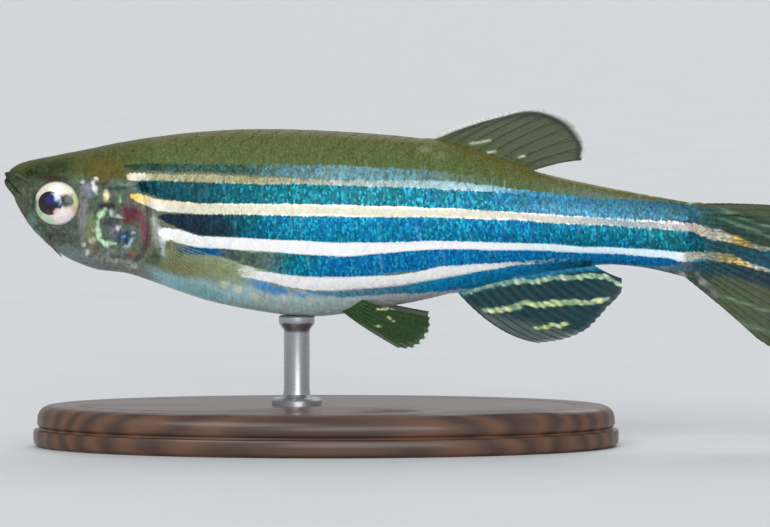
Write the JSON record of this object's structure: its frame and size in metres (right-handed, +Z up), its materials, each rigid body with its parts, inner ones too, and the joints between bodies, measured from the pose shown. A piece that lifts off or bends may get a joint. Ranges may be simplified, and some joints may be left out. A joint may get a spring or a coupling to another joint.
{
  "type": "zebra danio",
  "caption": "Still, life-size model of a zebra danio, a slim striped aquarium fish, held level on a rod above an oval base.",
  "frame": {"origin": "on the floor under the middle of the whole model's box", "axes": "+X towards the tail, so the fish looks along -X; its left side faces -Y; +Z up"},
  "size_m": [0.0496, 0.0168, 0.0196],
  "materials": {
    "skin": "wet gloss",
    "gill_cover": "wet gloss",
    "eye": "polished",
    "fin": "satin",
    "stand_wood": "satin",
    "stand_steel": "brushed"
  },
  "bodies": {
    "root": {"head": "skin", "lower_jaw": "skin", "trunk": "skin", "tail_stalk": "skin", "barbel_rim_left": "skin", "barbel_rim_right": "skin", "barbel_corner_left": "skin", "barbel_corner_right": "skin", "gill_cover_left": "gill_cover", "gill_cover_right": "gill_cover", "eye_left": "eye", "eye_right": "eye", "dorsal_fin": "fin", "anal_fin": "fin", "caudal_fin": "fin", "pectoral_fin_left": "fin", "pectoral_fin_right": "fin", "pelvic_fin_left": "fin", "pelvic_fin_right": "fin", "stand_base": "stand_wood", "stand_rod": "stand_steel"}
  },
  "joints": []
}
